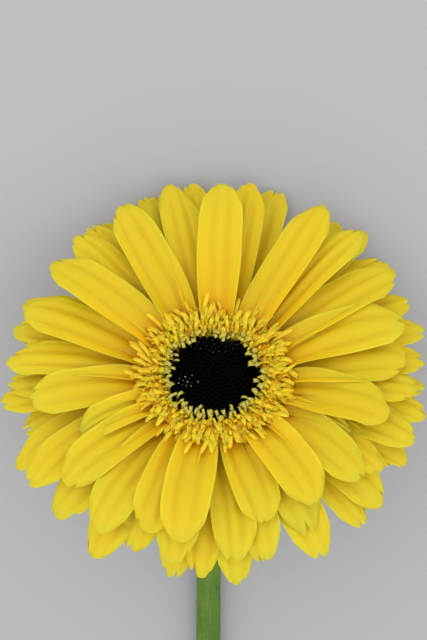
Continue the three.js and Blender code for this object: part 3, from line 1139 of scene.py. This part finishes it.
# The rings stand on a core of florets' tubes, grown together.
CORE_OUTLINE = [
    (11.0, -11.9), (12.0, -11.9), (13.2, 0.0), (15.4, 1.9), (16.6, 2.8), (15.0, 3.1), (12.8, 2.2), (11.1, 0.6)
]
core_mesh = turned_mesh("trans_floret_tubes", CORE_OUTLINE, 96, 0.01)
core_rings = bmesh.new()
core_rings.from_mesh(core_mesh)
caps = [f for f in core_rings.faces if len(f.verts) > 4]
bmesh.ops.delete(core_rings, geom=caps, context="FACES_ONLY")
open_edges = [e for e in core_rings.edges if e.is_boundary]
bmesh.ops.bridge_loops(core_rings, edges=open_edges)
bmesh.ops.recalc_face_normals(core_rings, faces=core_rings.faces)
core_rings.to_mesh(core_mesh)
core_rings.free()
core = link_mesh("trans_floret_tubes", core_mesh, ring_tissue)
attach(core, "root")
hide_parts("trans_florets")

# Height of the tube, length, curl and half breadth of the outer strap, and length of the inner lip.
TONGUES = [
    (2.4, 4.0, 1.1, 0.44, 1.8), (2.6, 3.7, 1.9, 0.48, 1.6), (2.2, 4.8, 0.7, 0.4, 0), (2.5, 3.6, 2.8, 0.5, 1.8)
]
LOOPS = [
    (2.4, 3.6, 3.0, 0.46, 1.8),
    (2.7, 3.2, 2.2, 0.42, 1.6),
    (2.2, 3.8, 1.3, 0.48, 2.0),
    (2.5, 3.4, 3.7, 0.5, 0),
]
CURLS = [
    (2.2, 2.6, 2.0, 0.42, 2.2),
    (2.0, 2.3, 3.2, 0.46, 2.4),
    (2.5, 2.5, 1.2, 0.4, 2.0),
    (2.3, 2.0, 0.8, 0.36, 1.8),
]
HOOKS = [(2.2, 1.5, 0.4), (1.9, 1.2, 0.48), (2.4, 1.8, 0.36), (2.0, 1.5, 0.3), (2.2, 1.0, 0.52)]
tongues = shape_set("tongue", [floret_shape(f"tongue_{k}", *sizes) for k, sizes in enumerate(TONGUES)])
loops = shape_set("loop", [floret_shape(f"loop_{k}", *sizes) for k, sizes in enumerate(LOOPS)])
curls = shape_set("curl", [floret_shape(f"curl_{k}", *sizes) for k, sizes in enumerate(CURLS)])
lips = shape_set("hook", [hook_shape(f"hook_{k}", *sizes) for k, sizes in enumerate(HOOKS)])
# Each ring: shapes, tissue, count, first and last radius, height, lean and size, then stray and seed.
RINGS = {
    "trans_florets_outer": (
        tongues, ring_tissue, 140, (14.0, 16.0), (1.0, 1.9), (0.62, 0.8), (0.95, 1.0), 0.5, 41
    ),
    "trans_florets_middle": (
        loops, ring_tissue, 145, (13.0, 14.7), (1.1, 1.8), (0.36, 0.6), (0.92, 1.0), 0.5, 42
    ),
    "trans_florets_inner": (
        curls, ring_tissue, 118, (11.9, 13.4), (0.9, 1.5), (0.05, 0.34), (0.9, 1.0), 0.45, 43
    ),
    "trans_florets_hooks": (
        lips, young_tissue, 92, (11.3, 12.5), (1.5, 2.2), (-0.3, 0.2), (0.9, 1.05), 0.6, 51
    ),
}
for name, (shapes, tissue, count, radii, heights, leans, sizes, stray, seed) in RINGS.items():
    ring = spiral_piece(
        name,
        shapes,
        tissue,
        count=count,
        first_radius=radii[0],
        last_radius=radii[1],
        first_height=heights[0],
        last_height=heights[1],
        first_lean=leans[0],
        last_lean=leans[1],
        first_size=sizes[0],
        last_size=sizes[1],
        stray=stray,
        turn=seed * 0.7,
        seed=seed,
    )

# ---- Disc florets ----
# The middle: hundreds of closed, nearly black buds on a low cushion, packed in the spiral that all daisies
# share.
DISC_OUTLINE = [
    (0.02, -11.9), (10.7, -11.9), (10.7, 0.6), (10.0, 1.5), (8.0, 1.9), (5.0, 2.1), (2.5, 2.1), (0.02, 2.1)
]


def bud_shape(name, height, girth):
    """A blunt six-sided bud."""
    mesh = bpy.data.meshes.new(name)
    rings = [(0.0, 0.8), (0.45, 1.0), (0.8, 0.82), (0.97, 0.4)]
    turn = [math.radians(60 * k) for k in range(6)]
    vertices = [
        (girth * g * math.cos(a), girth * g * math.sin(a), height * h) for h, g in rings for a in turn
    ]
    faces = [
        (k * 6 + i, k * 6 + (i + 1) % 6, (k + 1) * 6 + (i + 1) % 6, (k + 1) * 6 + i)
        for k in range(3)
        for i in range(6)
    ]
    faces += [tuple(reversed(range(6))), tuple(range(18, 24))]
    mesh.from_pydata(vertices, [], faces)
    mesh.shade_smooth()
    return mesh


# Bud skin: nearly black and almost matte, so the middle reads as one dark disc.
bud_skin, tree, shader = new_material("disc_bud_skin", "#120e0c", 0.5)
place = add_node(tree, "ShaderNodeTexCoord").outputs["Object"]
shade = add_node(tree, "ShaderNodeTexNoise", {"Vector": place, "Scale": 380.0})
darks = add_node(
    tree,
    "ShaderNodeMix",
    {0: shade.outputs["Fac"], 6: linear("#010101"), 7: linear("#040303")},
    data_type="RGBA",
)
tree.links.new(darks.outputs[2], shader.inputs["Base Color"])
shader.inputs["Specular IOR Level"].default_value = 0.03

cushion = link_mesh("disc_cushion", turned_mesh("disc_cushion", DISC_OUTLINE, 72), bud_skin)
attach(cushion, "root")
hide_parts("disc_florets")
BUD_COUNT = 360
BUD_FIRST_RADIUS, BUD_LAST_RADIUS = 0.3, 11.6
buds = spiral_piece(
    "disc_buds",
    shape_set(
        "bud",
        [bud_shape(f"bud_{k}", h, g) for k, (h, g) in enumerate([(1.5, 0.5), (1.65, 0.52), (1.4, 0.48)])],
    ),
    bud_skin,
    count=BUD_COUNT,
    first_radius=BUD_FIRST_RADIUS,
    last_radius=BUD_LAST_RADIUS,
    first_height=1.6,
    last_height=1.2,
    first_lean=0.02,
    last_lean=0.2,
    first_size=0.9,
    last_size=1.1,
    stray=0.06,
    turn=0.0,
    seed=61,
)

# Specks on the tips of some buds: a pale patch of pollen on one side, and at the top dull rows that are
# painted highlights, standing in for light glinting on the upper buds.
PALE_PATCH = ((-6.5, -1.5), (3.1, 1.8))
TOP_GLINT_PATCH = ((0.6, 8.4), (7.4, 2.4))
SPECK_HALF = 0.15
SPECK_HEIGHT = 3.12
pale_speck, tree, shader = new_material("pollen_speck", "#c4c0a8", 0.7)
place = add_node(tree, "ShaderNodeTexCoord").outputs["Object"]
mottle = add_node(tree, "ShaderNodeTexNoise", {"Vector": place, "Scale": 900.0})
specks = add_node(
    tree,
    "ShaderNodeMix",
    {0: mottle.outputs["Fac"], 6: linear("#9a9474"), 7: linear("#d8d6c4")},
    data_type="RGBA",
)
tree.links.new(specks.outputs[2], shader.inputs["Base Color"])
# Painted highlight: dull brown dots that stand in for light glinting on the top buds.
bud_glint_paint, tree, shader = new_material("painted_bud_glint", "#3a3220", 0.7)
place = add_node(tree, "ShaderNodeTexCoord").outputs["Object"]
mottle = add_node(tree, "ShaderNodeTexNoise", {"Vector": place, "Scale": 900.0})
specks = add_node(
    tree,
    "ShaderNodeMix",
    {0: mottle.outputs["Fac"], 6: linear("#241e12"), 7: linear("#5c5236")},
    data_type="RGBA",
)
tree.links.new(specks.outputs[2], shader.inputs["Base Color"])


def speck_mesh(name, patch):
    """A small flat-topped speck on the tip of each bud whose middle is inside the patch."""
    (middle_x, middle_y), (half_x, half_y) = patch
    shell = bmesh.new()
    for k in range(BUD_COUNT):
        radius = math.sqrt(BUD_FIRST_RADIUS**2 + (BUD_LAST_RADIUS**2 - BUD_FIRST_RADIUS**2) * k / BUD_COUNT)
        x, y = radius * math.cos(SPIRAL_STEP * k), radius * math.sin(SPIRAL_STEP * k)
        if ((x - middle_x) / half_x) ** 2 + ((y - middle_y) / half_y) ** 2 < 1:
            spot = Matrix.Translation((x, y, SPECK_HEIGHT)) @ Matrix.Diagonal((1, 1, 0.6, 1))
            bmesh.ops.create_icosphere(
                shell, subdivisions=1, radius=SPECK_HALF * (0.75 + 0.45 * math.sin(k)), matrix=spot
            )
    mesh = bpy.data.meshes.new(name)
    shell.to_mesh(mesh)
    shell.free()
    mesh.shade_smooth()
    mesh.transform(to_row)
    return mesh


for name, patch, material in [
    ("pollen_specks", PALE_PATCH, pale_speck), ("sap_specks", TOP_GLINT_PATCH, bud_glint_paint)
]:
    dots = link_mesh(name, speck_mesh(name, patch), material)
    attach(dots, "root")
